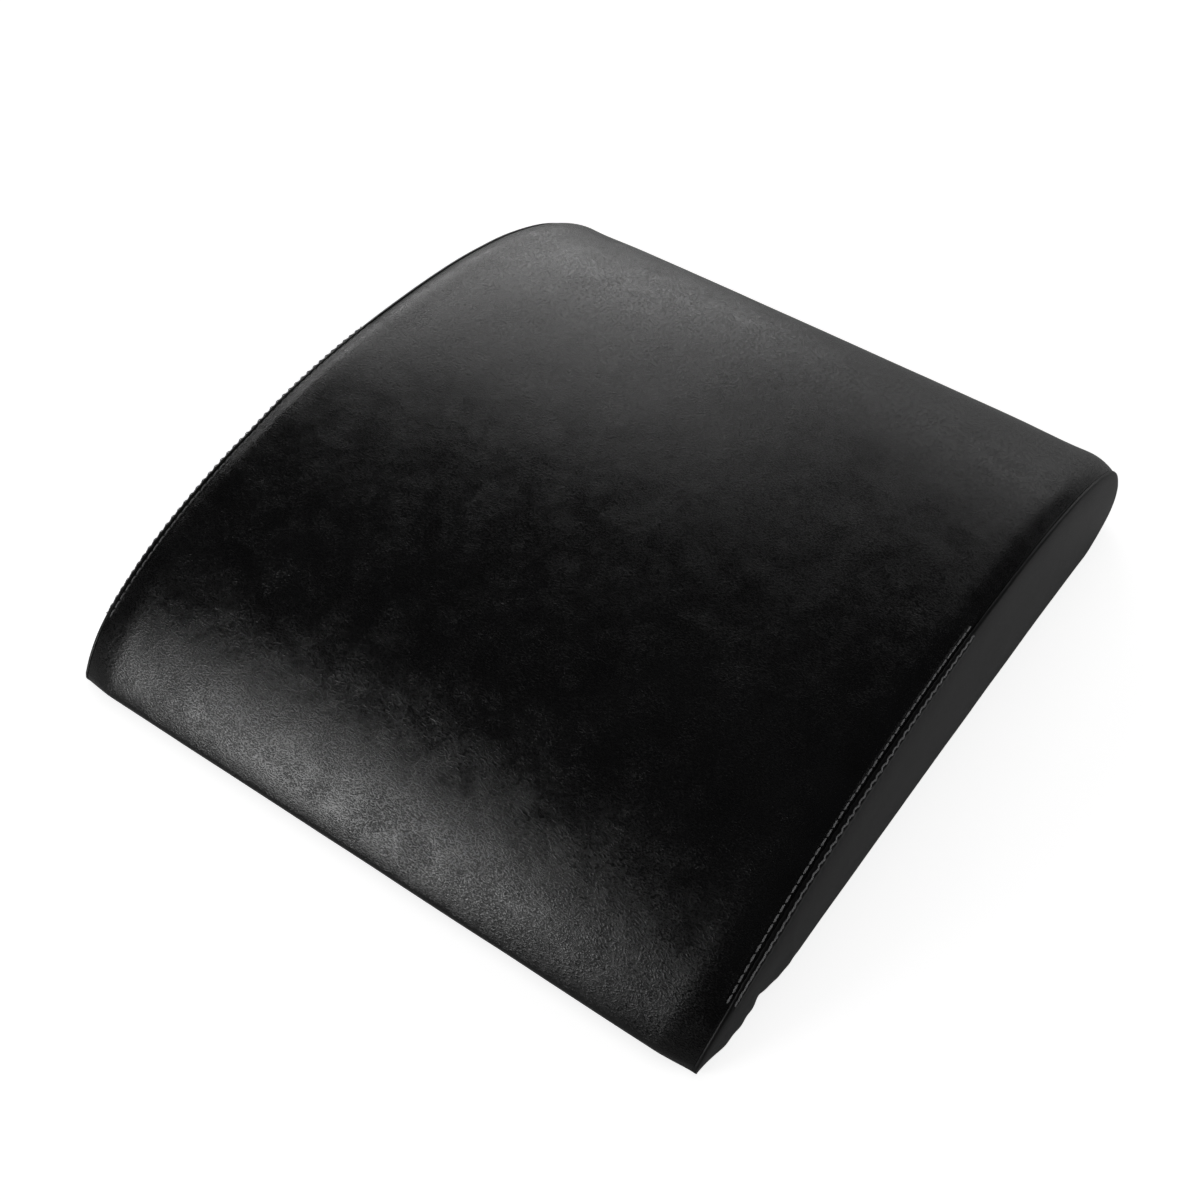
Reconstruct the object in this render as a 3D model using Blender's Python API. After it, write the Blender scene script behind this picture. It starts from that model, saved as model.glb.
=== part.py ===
"""Abdominal exercise mat: a moulded foam wedge in a sewn faux leather cover with a rear zip.

Metres, +Z up, +Y towards the thick rear end. The origin is the middle of the flat base.
The side profile is drawn once, as a run of stations, and every sheet of the cover, the foam
and the threads are laid on it at their own depth.
"""
import math

import bmesh
import bpy
import numpy as np

# Overall form
mat_length = 0.370
seam_half_width = 0.155
crown_height = 0.084
crown_distance = 0.219

# Front edge and front slope
front_foot_radius = 0.0040
front_upright = 0.0060
front_rise_handle = 0.0280
front_lean = 0.0130
crown_front_handle = 0.128

# Rear slope, upright rear face and rear foot
crown_rear_handle = 0.118
rear_drop_handle = 0.016
rear_face_top = 0.0215
rear_face_bottom = 0.0080
rear_face_lean = 0.0012
rear_foot_run = 0.011
rear_foot_handle = 0.0045

# How far the top sheet sinks towards the side seams, and how the sides are shaped
roll_width = 0.014
seam_sink_front = 0.0010
seam_sink_middle = 0.0060
seam_sink_rear = 0.0038
seam_sink_face = 0.0030
sink_length_shares = (0.0, 0.03, 0.30, 0.75, 0.97, 1.0)
gusset_belly = 0.0046
belly_full_height = 0.045
belly_shares = (0.0, 0.25, 0.75, 1.0, 0.75, 0.0)
gusset_edge_run = 0.008
front_taper = 0.0016
front_taper_run = 0.022

# Sheets and clearances
sheet_thickness = 0.0015
touch_gap = 0.0003
cover_lift = 0.0005
base_front_edge = 0.0033

# Threads
thread_radius = 0.0004
thread_from_seam = 0.0025
thread_from_hem = 0.0014
thread_front_end = 0.017
thread_rear_end = 0.190

# Zip
zip_end_margin = 0.037
tape_overrun = 0.004
slot_half_width = 0.0045
tape_thickness = 0.0005
coil_inner = 0.0007
coil_width = 0.0019
coil_height = 0.0013
stop_length = 0.0020
stop_extra_width = 0.0004
slider_length = 0.010
slider_half_width = 0.0035
slider_nose_half_width = 0.0022
slider_plate = 0.0010
slider_lower_plate = 0.0008
neck_length = 0.0022
neck_half_width = 0.0004
slider_tail_half_width = 0.0028
slider_end_clearance = 0.0010
flange_width = 0.0005
flange_length = 0.0060
bridge_length = 0.0060
bridge_half_width = 0.0008
bridge_post = 0.0006
bridge_bar = 0.0006
bridge_opening = 0.0016
pull_bar_radius = 0.0004
pull_axis_height = 0.0009
pull_length = 0.022
pull_half_width = 0.0030
pull_thickness = 0.0012
pull_window_half_width = 0.0014
pull_window_length = 0.0042
pull_tip_radius = 0.0012
pull_hole_radius = 0.0011
pull_hole_from_tip = 0.0040
pull_hole_sides = 12

# Finish of the zip's metal pieces
lacquer = (0.03, 0.03, 0.032)
lacquer_roughness = 0.32

# Mesh density
front_arc_steps = 3
front_slope_steps = 13
rear_slope_steps = 12
foot_steps = 4
base_steps = 3
sharp_angle = math.radians(35)

# Worked out from the sizes above
sheet_edge = seam_half_width - sheet_thickness - touch_gap
core_inset = sheet_thickness + touch_gap
tape_depth = core_inset
lower_plate_depth = tape_depth + tape_thickness + touch_gap
channel_inset = lower_plate_depth + slider_lower_plate + touch_gap
coil_base = touch_gap - tape_depth
coil_top = coil_base + coil_height
upper_plate_base = coil_top + touch_gap
upper_plate_top = upper_plate_base + slider_plate
zip_half_length = seam_half_width - zip_end_margin
slider_rest = zip_half_length - slider_length / 2 - slider_end_clearance


def remove_all_objects():
    for item in list(bpy.data.objects):
        bpy.data.objects.remove(item, do_unlink=True)


def material(name, colour, roughness):
    made = bpy.data.materials.new(name)
    made.use_nodes = True
    shader = made.node_tree.nodes["Principled BSDF"]
    shader.inputs["Base Color"].default_value = (*colour, 1.0)
    shader.inputs["Roughness"].default_value = roughness
    shader.inputs["Metallic"].default_value = 0.0
    made.diffuse_color = (*colour, 1.0)
    return made


def add_object(name, mesh, colour, roughness, smooth=True, location=(0, 0, 0), rotation=(0, 0, 0)):
    """Close a bmesh into a named object with its own material."""
    bmesh.ops.recalc_face_normals(mesh, faces=mesh.faces)
    data = bpy.data.meshes.new(name)
    mesh.to_mesh(data)
    mesh.free()
    if smooth:
        data.shade_smooth()
        data.set_sharp_from_angle(angle=sharp_angle)
    made = bpy.data.objects.new(name, data)
    bpy.context.collection.objects.link(made)
    made.location = location
    made.rotation_euler = rotation
    data.materials.append(material(name, colour, roughness))
    return made


def bezier(p0, p1, p2, p3, steps):
    """Points of one cubic span, both ends included."""
    t = np.linspace(0.0, 1.0, steps + 1)[:, None]
    p0, p1, p2, p3 = (np.array(p, dtype=float) for p in (p0, p1, p2, p3))
    return (1 - t) ** 3 * p0 + 3 * (1 - t) ** 2 * t * p1 + 3 * (1 - t) * t ** 2 * p2 + t ** 3 * p3


class Profile:
    """The side profile in (distance from the front, height), cut into the runs that the sheets follow."""

    def __init__(self):
        radius = front_foot_radius
        lift_angle = math.acos(1 - cover_lift / radius)
        angles = np.linspace(lift_angle, math.pi / 2, front_arc_steps + 1)
        foot = np.c_[radius - radius * np.sin(angles), radius - radius * np.cos(angles)]
        rise = bezier((0, front_upright), (front_lean, front_upright + front_rise_handle),
                      (crown_distance - crown_front_handle, crown_height),
                      (crown_distance, crown_height), front_slope_steps)
        face_top = (mat_length - rear_face_lean, rear_face_top)
        fall = bezier((crown_distance, crown_height), (crown_distance + crown_rear_handle, crown_height),
                      (face_top[0] - rear_face_lean, rear_face_top + rear_drop_handle),
                      face_top, rear_slope_steps)
        self.face_top = np.array(face_top)
        self.face_bottom = np.array((mat_length, rear_face_bottom))
        self.face_middle = (self.face_top + self.face_bottom) / 2
        span = self.face_bottom - self.face_top
        self.face_down = span / np.linalg.norm(span)
        self.face_out = np.array((-self.face_down[1], self.face_down[0]))
        slot_top = self.on_face(-slot_half_width)
        slot_bottom = self.on_face(slot_half_width)
        heel = bezier(self.face_bottom, (mat_length, rear_face_bottom - rear_foot_handle),
                      (mat_length - rear_foot_run + rear_foot_handle, 0),
                      (mat_length - rear_foot_run, 0), foot_steps)
        distances = np.linspace(mat_length - rear_foot_run, base_front_edge, base_steps + 1)
        base = np.c_[distances, np.zeros(len(distances))]
        self.top = np.vstack([foot, rise, fall[1:], [slot_top]])
        self.bottom = np.vstack([[slot_bottom], heel, base[1:]])
        self.over_top = np.vstack([self.top, [slot_bottom], heel])
        self.face_top_station = len(self.top) - 2
        self.face_bottom_station = len(self.top) + 1

    def on_face(self, down):
        """A point of the upright rear face, a distance below its middle line."""
        return self.face_middle + self.face_down * down


def outward(path):
    """Unit normals of a path that runs front to rear over the top, pointing out of the pad."""
    ahead = np.vstack([path[1:], path[-1:]])
    behind = np.vstack([path[:1], path[:-1]])
    along = ahead - behind
    along /= np.linalg.norm(along, axis=1)[:, None]
    return np.c_[-along[:, 1], along[:, 0]]


def sink_at(point):
    """Depth by which the sheet lies below the profile at the side seam."""
    distance, height = point
    depths = (seam_sink_front, seam_sink_front, seam_sink_middle,
              seam_sink_middle, seam_sink_rear, seam_sink_rear)
    depth = np.interp(distance / mat_length, sink_length_shares, depths)
    if distance < crown_distance:
        return np.interp(height, (0, front_upright), (0, depth))
    return np.interp(height, (0, rear_face_bottom, rear_face_top), (0, seam_sink_face, depth))


def taper_at(distance):
    """Share of its full width that the pad has at a distance from the front."""
    share = max(0.0, 1 - distance / front_taper_run)
    return 1 - front_taper / seam_half_width * share ** 2


def place(x, point, normal, depth):
    """World position of a spot on the cover: sideways, along the profile, and at a depth under it."""
    share = min(1.0, max(0.0, (abs(x) - (sheet_edge - roll_width)) / roll_width))
    spot = point - normal * (depth + sink_at(point) * share ** 2)
    return (x * taper_at(spot[0]), spot[0] - mat_length / 2, spot[1])


def edge_lines():
    """Sideways positions of the cut lines in the rolled edge, from the seam inwards."""
    return [sheet_edge, sheet_edge - thread_from_seam, sheet_edge - roll_width / 3,
            sheet_edge - roll_width * 2 / 3, sheet_edge - roll_width]


def cross_lines():
    """Sideways positions of the lines that a full-width sheet is cut along."""
    side = edge_lines()
    middle = side[-1] / 3
    return [-x for x in side] + [-middle, middle] + side[::-1]


def grid_faces(rows, columns):
    """Quads of a grid whose points run column by column inside each row."""
    return [[r * columns + c, r * columns + c + 1, (r + 1) * columns + c + 1, (r + 1) * columns + c]
            for r in range(rows - 1) for c in range(columns - 1)]


def shell(outer, inner, faces):
    """Closed solid between two sets of points that share one list of faces."""
    mesh = bmesh.new()
    used = sorted({i for face in faces for i in face})
    near = {i: mesh.verts.new(outer[i]) for i in used}
    far = {i: mesh.verts.new(inner[i]) for i in used}
    edges = {}
    for face in faces:
        mesh.faces.new([near[i] for i in face])
        mesh.faces.new([far[i] for i in reversed(face)])
        edges.update(dict.fromkeys(zip(face, face[1:] + face[:1])))
    for a, b in edges:
        if (b, a) not in edges:
            mesh.faces.new([near[b], near[a], far[a], far[b]])
    return mesh


def cover_sheet(path, lines):
    """A sheet of the cover along a stretch of the profile."""
    normals = outward(path)
    outer = [place(x, p, n, 0.0) for p, n in zip(path, normals) for x in lines]
    inner = [place(x, p, n, sheet_thickness) for p, n in zip(path, normals) for x in lines]
    return shell(outer, inner, grid_faces(len(path), len(lines)))


class Side:
    """The side outline at an inset, with the rows of points that fill it."""

    def __init__(self, profile, stations, insets):
        path = profile.over_top[stations]
        normals = outward(profile.over_top)[stations]
        floor = max(cover_lift, insets[0])
        sink = np.array([sink_at(p) for p in path])
        self.upper = path - normals * (sink + insets)[:, None]
        self.upper[:, 1] = np.maximum(self.upper[:, 1], floor)
        self.upper[[0, -1], 1] = floor
        steps = np.linalg.norm(np.diff(self.upper, axis=0), axis=1)
        self.shares = np.r_[0.0, np.cumsum(steps)] / steps.sum()
        self.lower = self.floor_path(self.upper)

    def floor_path(self, upper):
        """Points under an upper path, in step with it, that meet it at both ends."""
        low = upper[0, 0] + (upper[-1, 0] - upper[0, 0]) * self.shares
        return np.c_[low, np.full(len(low), upper[0, 1])]

    def rows(self):
        """Rows of points from the seam to the base, and how full the belly is at each column."""
        span = self.lower - self.upper
        length = np.linalg.norm(span, axis=1)[:, None]
        way = span / np.maximum(length, touch_gap)
        near = way * np.minimum(thread_from_seam, length / 4)
        further = way * np.minimum(gusset_edge_run, length / 3)
        rows = [self.upper, self.upper + near, self.upper + further,
                self.upper + span / 2, self.lower - further, self.lower]
        return rows, np.minimum(1.0, length[:, 0] / belly_full_height)

    def points(self, hand, edge_x):
        """World positions of the rows, on one hand of the pad (-1 left, +1 right)."""
        rows, fullness = self.rows()
        return [(hand * (edge_x + gusset_belly * share * full) * taper_at(spot[0]),
                 spot[0] - mat_length / 2, spot[1])
                for row, share in zip(rows, belly_shares) for spot, full in zip(row, fullness)]

    def faces(self):
        """Faces between the rows, whose first and last columns each meet in one point."""
        columns = len(self.upper)
        last = columns - 1
        faces = []
        for quad in grid_faces(len(belly_shares), columns):
            face = []
            for i in quad:
                column = i % columns
                corner = column if column in (0, last) else i
                if corner not in face:
                    face.append(corner)
            faces.append(face)
        return faces


def build_foam_core(profile):
    """The moulded core, a little inside the cover, with a channel behind the zip."""
    every = np.arange(len(profile.over_top))
    face_stations = (profile.face_top_station, profile.face_bottom_station)
    in_face = (every > face_stations[0]) & (every < face_stations[1])
    stations = every[((every % 2 == 0) | np.isin(every, face_stations) | (every == every[-1])) & ~in_face]
    insets = np.where(np.isin(stations, face_stations), channel_inset, core_inset)
    side = Side(profile, stations, insets)
    path = profile.over_top[stations]
    normals = outward(profile.over_top)[stations]
    mesh = bmesh.new()
    loops = []
    for x in cross_lines():
        upper = np.array([place(x, p, n, inset)[1:] for p, n, inset in zip(path, normals, insets)])
        upper[:, 1] = np.maximum(upper[:, 1], core_inset)
        upper[[0, -1], 1] = core_inset
        lower = side.floor_path(upper)[::-1][1:-1]
        loops.append([(x * taper_at(y + mat_length / 2), y, z) for y, z in np.vstack([upper, lower])])
    rings = [[mesh.verts.new(spot) for spot in loop] for loop in loops]
    for ring, following in zip(rings, rings[1:]):
        for k in range(len(ring)):
            mesh.faces.new([ring[k - 1], ring[k], following[k], following[k - 1]])
    count = len(path)
    last_row = (len(belly_shares) - 1) * count
    for hand, ring in ((-1, rings[0]), (1, rings[-1])):
        spots = side.points(hand, sheet_edge)
        known = {k: ring[k] for k in range(count)}
        known.update({last_row + k: ring[-k] for k in range(1, count - 1)})
        for face in side.faces():
            for i in face:
                if i not in known:
                    known[i] = mesh.verts.new(spots[i])
            mesh.faces.new([known[i] for i in face])
    add_object("foam_core", mesh, (0.62, 0.60, 0.52), 0.95)


def build_cover(profile):
    add_object("top_panel", cover_sheet(profile.top, cross_lines()), (0.014, 0.014, 0.015), 0.42)
    add_object("base_panel", cover_sheet(profile.bottom, cross_lines()), (0.020, 0.020, 0.021), 0.62)
    gap = touch_gap
    tab_path = np.array([profile.on_face(gap - slot_half_width), profile.on_face(slot_half_width - gap)])
    tab_start = zip_half_length + stop_length + 2 * gap
    for name, hand in (("left", -1), ("right", 1)):
        lines = [hand * x for x in edge_lines() + [tab_start]]
        add_object("zip_end_tab_" + name, cover_sheet(tab_path, lines), (0.016, 0.016, 0.017), 0.45)


def build_gussets(profile):
    stations = np.arange(len(profile.over_top))
    side = Side(profile, stations, np.zeros(len(stations)))
    for name, hand in (("left", -1), ("right", 1)):
        outer = side.points(hand, seam_half_width)
        inner = [(x - hand * sheet_thickness * taper_at(y + mat_length / 2), y, z) for x, y, z in outer]
        add_object(name + "_gusset", shell(outer, inner, side.faces()), (0.030, 0.030, 0.031), 0.40)


def thread_bar(rings):
    """A closed four-sided bar through a run of rings."""
    mesh = bmesh.new()
    made = [[mesh.verts.new(spot) for spot in ring] for ring in rings]
    for ring, following in zip(made, made[1:]):
        for k in range(len(ring)):
            mesh.faces.new([ring[k - 1], ring[k], following[k], following[k - 1]])
    mesh.faces.new(made[0])
    mesh.faces.new(made[-1])
    return mesh


def sewn_stretch(rings):
    """The rings between the two ends of the topstitching, with one more laid at each end."""
    rings = np.array(rings)
    distances = rings[:, 0, 1] + mat_length / 2
    inside = rings[(distances > thread_front_end) & (distances < thread_rear_end)]
    first, last = ([[np.interp(end, distances, rings[:, corner, axis]) for axis in range(3)]
                    for corner in range(rings.shape[1])] for end in (thread_front_end, thread_rear_end))
    return [first, *inside, last]


def build_seam_threads(profile):
    """A row of topstitching on each side of both seams, laid as one bar a row."""
    stations = np.arange(front_arc_steps + 2, profile.face_top_station)
    path = profile.over_top[stations]
    normals = outward(profile.over_top)[stations]
    low, middle, high = touch_gap, touch_gap + thread_radius, touch_gap + 2 * thread_radius
    line = sheet_edge - thread_from_seam
    side = Side(profile, np.arange(len(profile.over_top)), np.zeros(len(profile.over_top)))
    rows, fullness = side.rows()
    way = (rows[2] - rows[0])[stations]
    way /= np.linalg.norm(way, axis=1)[:, None]
    for name, hand in (("left", -1), ("right", 1)):
        rings = [[place(hand * line, p, n, -low), place(hand * (line + thread_radius), p, n, -middle),
                  place(hand * line, p, n, -high), place(hand * (line - thread_radius), p, n, -middle)]
                 for p, n in zip(path, normals)]
        add_object(name + "_seam_thread_inner", thread_bar(sewn_stretch(rings)), (0.03, 0.03, 0.03), 0.35)
        rings = []
        for spot, down, full in zip(rows[1][stations], way, fullness[stations]):
            surface = seam_half_width + gusset_belly * belly_shares[1] * full
            ring = []
            for rise, shift in ((low, 0), (middle, thread_radius), (high, 0), (middle, -thread_radius)):
                y, z = spot + down * shift
                ring.append((hand * (surface + rise) * taper_at(y), y - mat_length / 2, z))
            rings.append(ring)
        add_object(name + "_seam_thread_outer", thread_bar(sewn_stretch(rings)), (0.03, 0.03, 0.03), 0.35)


def prism(outline, low, high):
    """A closed prism: an outline in the zip's (along, down) plane, between two heights."""
    mesh = bmesh.new()
    bottom = [mesh.verts.new((x, d, low)) for x, d in outline]
    top = [mesh.verts.new((x, d, high)) for x, d in outline]
    mesh.faces.new(bottom)
    mesh.faces.new(top)
    for k in range(len(outline)):
        mesh.faces.new([bottom[k - 1], bottom[k], top[k], top[k - 1]])
    return mesh


def box(x0, x1, d0, d1, low, high):
    return prism([(x0, d0), (x1, d0), (x1, d1), (x0, d1)], low, high)


class ZipLine:
    """The zip's own axes on the rear face: along it, down the face, and out of the face."""

    def __init__(self, profile):
        self.middle = profile.face_middle
        self.down = profile.face_down
        self.out = profile.face_out
        self.tape_edge = np.linalg.norm(profile.face_bottom - profile.face_top) / 2 - touch_gap
        self.turn = (math.atan2(self.down[1], self.down[0]), 0.0, 0.0)

    def at(self, along, height=0.0):
        """World position of a spot on the zip's middle line, raised off the face."""
        y, z = self.middle + self.out * height
        return (along, y - mat_length / 2, z)

    def add(self, name, mesh, colour, roughness, along=0.0, height=0.0):
        return add_object(name, mesh, colour, roughness, False, self.at(along, height), self.turn)

    def combine(self, target, mesh, operation):
        """Join a tool shape to a piece, or cut it out, in the piece's own axes."""
        tool = add_object(target.name + "_tool", mesh, (1, 1, 1), 1.0, smooth=False,
                          location=target.location, rotation=target.rotation_euler)
        tool.hide_render = True
        tool.display_type = "WIRE"
        change = target.modifiers.new(operation.title(), "BOOLEAN")
        change.operation = operation
        change.object = tool
        change.solver = "EXACT"


def build_zip_strip(line):
    """Tapes, coils, stops and the two rows of hem thread."""
    tape_half = zip_half_length + tape_overrun
    for name, hand in (("upper", -1), ("lower", 1)):
        line.add("zip_tape_" + name,
                 box(-tape_half, tape_half, hand * coil_inner, hand * line.tape_edge,
                     -tape_depth - tape_thickness, -tape_depth), (0.018, 0.018, 0.020), 0.85)
        coil = [(hand * coil_inner, coil_base), (hand * (coil_inner + coil_width), coil_base),
                (hand * (coil_inner + coil_width), coil_base + coil_height / 2),
                (hand * (coil_inner + coil_width * 2 / 3), coil_top),
                (hand * (coil_inner + coil_width / 3), coil_top),
                (hand * coil_inner, coil_base + coil_height / 2)]
        rings = [[(x, d, h) for d, h in coil] for x in (-zip_half_length, zip_half_length)]
        line.add("zip_coil_" + name, thread_bar(rings), (0.022, 0.022, 0.024), 0.40)
        thread_down = hand * (slot_half_width + thread_from_hem)
        thread_end = edge_lines()[-1]
        line.add("hem_thread_" + name,
                 box(-thread_end, thread_end, thread_down - thread_radius, thread_down + thread_radius,
                     touch_gap, touch_gap + 2 * thread_radius), (0.03, 0.03, 0.03), 0.35)
    stop_start = zip_half_length + touch_gap
    stop_end = stop_start + stop_length
    outer = coil_inner + coil_width + stop_extra_width
    for name, hand in (("upper", -1), ("lower", 1)):
        line.add("zip_top_stop_" + name,
                 box(stop_start, stop_end, hand * coil_inner, hand * outer, coil_base, coil_top),
                 lacquer, lacquer_roughness)
    line.add("zip_bottom_stop", box(-stop_end, -stop_start, -outer, outer, coil_base, coil_top),
             lacquer, lacquer_roughness)


def build_slider(line):
    """Two plates joined by a neck between the coils, with a bridge over the top for the pull."""
    half = slider_length / 2
    outline = [(-half, -slider_tail_half_width), (0, -slider_half_width), (half, -slider_nose_half_width),
               (half, slider_nose_half_width), (0, slider_half_width), (-half, slider_tail_half_width)]
    slider = line.add("zip_slider", prism(outline, upper_plate_base, upper_plate_top),
                      lacquer, lacquer_roughness, along=slider_rest)
    low = -lower_plate_depth - slider_lower_plate
    bite = touch_gap
    line.combine(slider, prism(outline, low, -lower_plate_depth), "UNION")
    line.combine(slider, box(half - neck_length, half, -neck_half_width, neck_half_width,
                             -lower_plate_depth - bite, upper_plate_base + bite), "UNION")
    for hand in (-1, 1):
        edge = hand * (slider_tail_half_width + touch_gap)
        line.combine(slider, box(-flange_length / 2, flange_length / 2, edge, edge + hand * flange_width,
                                 coil_base, upper_plate_base + bite), "UNION")
        post = hand * bridge_length / 2
        line.combine(slider, box(post - hand * bridge_post, post, -bridge_half_width, bridge_half_width,
                                 upper_plate_top - bite, upper_plate_top + bridge_opening + bite), "UNION")
    line.combine(slider, box(-bridge_length / 2, bridge_length / 2, -bridge_half_width, bridge_half_width,
                             upper_plate_top + bridge_opening,
                             upper_plate_top + bridge_opening + bridge_bar), "UNION")


def build_pull(line):
    """The pull tab, lying along the zip from its bar under the slider's bridge."""
    half = pull_thickness / 2
    head = pull_bar_radius
    tip = pull_tip_radius
    outline = [(head, -pull_half_width), (head, pull_half_width),
               (-pull_length + tip, pull_half_width), (-pull_length, pull_half_width - tip),
               (-pull_length, -pull_half_width + tip), (-pull_length + tip, -pull_half_width)]
    pull = line.add("zip_pull", prism(outline, -half, half), lacquer, lacquer_roughness,
                    along=slider_rest, height=upper_plate_top + pull_axis_height)
    cut = 2 * half
    line.combine(pull, box(-pull_window_length, -pull_bar_radius, -pull_window_half_width,
                           pull_window_half_width, -cut, cut), "DIFFERENCE")
    for low, high in ((-cut, -pull_bar_radius), (pull_bar_radius, cut)):
        line.combine(pull, box(-pull_window_length, head + touch_gap, -pull_window_half_width,
                               pull_window_half_width, low, high), "DIFFERENCE")
    angles = np.linspace(0, 2 * math.pi, pull_hole_sides, endpoint=False)
    hole_middle = pull_hole_from_tip - pull_length
    hole = [(hole_middle + pull_hole_radius * math.cos(a), pull_hole_radius * math.sin(a)) for a in angles]
    line.combine(pull, prism(hole, -cut, cut), "DIFFERENCE")


def main():
    remove_all_objects()
    profile = Profile()
    build_foam_core(profile)
    build_cover(profile)
    build_gussets(profile)
    build_seam_threads(profile)
    line = ZipLine(profile)
    build_zip_strip(line)
    build_slider(line)
    build_pull(line)


main()
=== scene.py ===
"""The looks of the abdominal exercise mat: its sewn faux leather cover, topstitching, zip and foam.

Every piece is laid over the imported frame, in metres. The side profile is the one that the frame
was drawn with, cut much finer, and the cover, the foam and the threads hang on it.
"""
import math

import bmesh
import bpy
import numpy as np
from mathutils import Matrix, Vector
from mathutils.kdtree import KDTree


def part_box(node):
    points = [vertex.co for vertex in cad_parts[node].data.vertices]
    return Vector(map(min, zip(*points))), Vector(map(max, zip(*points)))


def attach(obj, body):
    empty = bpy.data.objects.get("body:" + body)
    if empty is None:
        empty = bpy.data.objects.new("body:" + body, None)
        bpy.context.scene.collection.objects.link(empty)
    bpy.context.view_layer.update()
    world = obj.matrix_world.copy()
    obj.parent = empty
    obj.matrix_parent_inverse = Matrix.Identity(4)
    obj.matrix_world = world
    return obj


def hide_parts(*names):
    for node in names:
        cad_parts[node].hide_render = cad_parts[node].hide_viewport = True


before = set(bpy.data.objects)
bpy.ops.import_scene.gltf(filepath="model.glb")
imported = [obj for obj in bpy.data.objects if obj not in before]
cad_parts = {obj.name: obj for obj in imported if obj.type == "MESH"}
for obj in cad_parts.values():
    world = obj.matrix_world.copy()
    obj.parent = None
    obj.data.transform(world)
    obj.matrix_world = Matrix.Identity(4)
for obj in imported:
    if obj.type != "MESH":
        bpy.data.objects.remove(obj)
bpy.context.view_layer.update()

# Driving sizes, read from the frame
top_low, top_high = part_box("top_panel")
mat_length = -2 * top_low.y
crown_height = top_high.z
sheet_edge = top_high.x
zip_half_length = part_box("zip_coil_upper")[1].x

# The side profile, as the frame has it
front_foot_radius = 0.0040
front_upright = 0.0060
front_rise_handle = 0.0280
front_lean = 0.0130
crown_distance = 0.219
crown_front_handle = 0.128
crown_rear_handle = 0.118
rear_drop_handle = 0.016
rear_face_top = 0.0215
rear_face_bottom = 0.0080
rear_face_lean = 0.0012
rear_foot_run = 0.011
rear_foot_handle = 0.0045
base_front_edge = 0.0033
slot_half_width = 0.0045

# The sides, as the frame has them
roll_width = 0.014
seam_sink_front = 0.0010
seam_sink_middle = 0.0060
seam_sink_rear = 0.0038
seam_sink_face = 0.0030
sink_length_shares = (0.0, 0.03, 0.30, 0.75, 0.97, 1.0)
gusset_belly = 0.0046
belly_full_height = 0.045
belly_power = 0.55
front_taper = 0.0016
front_taper_run = 0.022

# Shapes that are finer than the frame's
roll_overrun = 1.1
rear_dome = 0.0020
rear_dome_start = 0.130
rear_dome_run = 0.100
rear_dome_foot = 0.042
rear_dome_fade = 0.030
rear_dome_power = 3.0
front_crown = 0.0018
front_crown_run = 0.100
front_crown_power = 1.2
lower_belly_power = 0.36
draw_in_depth = 0.0017
draw_in_middle = 0.031
draw_in_reach = 0.010
corner_draw_in = 0.0011
corner_draw_in_reach = 0.007
draw_in_ripple = 0.0004
draw_in_ripple_length = 0.007

# Sheets
sheet_thickness = 0.0015
touch_gap = 0.0003
cover_lift = 0.0005
seam_half_width = sheet_edge + sheet_thickness + touch_gap
groove_x = sheet_edge + sheet_thickness / 2
groove_gap = 0.00008
top_fold_radius = 0.00055
gusset_fold_radius = 0.00055
hem_fold_radius = 0.0007
gusset_tuck = 0.0003
base_fold_radius = 0.0012

# Uneven lie of the leather over the foam, and the waves that random fields are made of
wave_count = 14
wave_lengths = (0.8, 1.35)
lie_height = 0.00003
lie_length = 0.034
ripple_height = 0.000006
ripple_length = 0.009

# Foam: its slack under the cover, and how near the rear's end its upright face lies
foam_slack = 0.0008
face_reach = 0.0015
foam_row_step = 3
foam_columns = 60
foam_edge_columns = (0.003, 0.007)
core_side_rows = 9

# Stitching
stitch_pitch = 0.0042
stitch_share = 0.93
stitch_from_seam = 0.0009
stitch_from_hem = 0.0014
stitch_front_end = 0.017
stitch_rear_end = 0.190
stitch_points = 10
strand_radius = 0.00025
strand_offset = 0.00018
strand_turns = 1.5
stitch_rise = 0.00006
stitch_rise_power = 0.5
stitch_dive = 0.00050
stitch_dive_power = 5
stitch_valley = 0.00030
stitch_valley_width = 0.0007
valley_between = 0.35
pucker_height = 0.00026
pucker_sizes = (0.35, 1.25)
pucker_reach = 0.0030
lip_height = 0.00024
lip_from_seam = 0.0019
lip_width = 0.0007

# Zip, as the frame has it
coil_inner = 0.0007
coil_width = 0.0019
coil_height = 0.0013
tape_thickness = 0.0005
tape_overrun = 0.004
tape_depth = sheet_thickness + touch_gap
coil_base = touch_gap - tape_depth
channel_inset = 0.0041
hem_thread_end = 0.1392

# Zip, finer than the frame's
coil_pitch = 0.0013
coil_wire = 0.00031
coil_head = 0.00042
coil_skew = 0.15
coil_squareness = 0.8
coil_turn_points = 14
tape_wave = 0.00004
tape_wave_length = 0.012
slider_edge = 0.00014
pull_edge = 0.00018
stop_edge = 0.0003
end_tab_edge = 0.0003
edge_segments = 3
edge_angle = math.radians(35)
flat_angle = math.radians(1)
weld_gap = 0.00001

# Mesh spacing
row_step = 0.0009
middle_step = 0.0036
edge_steps = (0.0002, 0.00022, 0.00024, 0.00026, 0.00028, 0.0003, 0.00032, 0.00035, 0.0004,
              0.0005, 0.0006, 0.0008, 0.0010, 0.0013, 0.0016, 0.0020, 0.0024, 0.0028)
curve_steps = 400
heel_steps = 40
foot_angles = 20
fold_angles = 5
gusset_middle_rows = 16
gusset_squeeze = 2.4
tube_sides = 6
steep = 0.9
tape_columns = 260
tape_rows = 10
tiny = 1e-12

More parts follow.
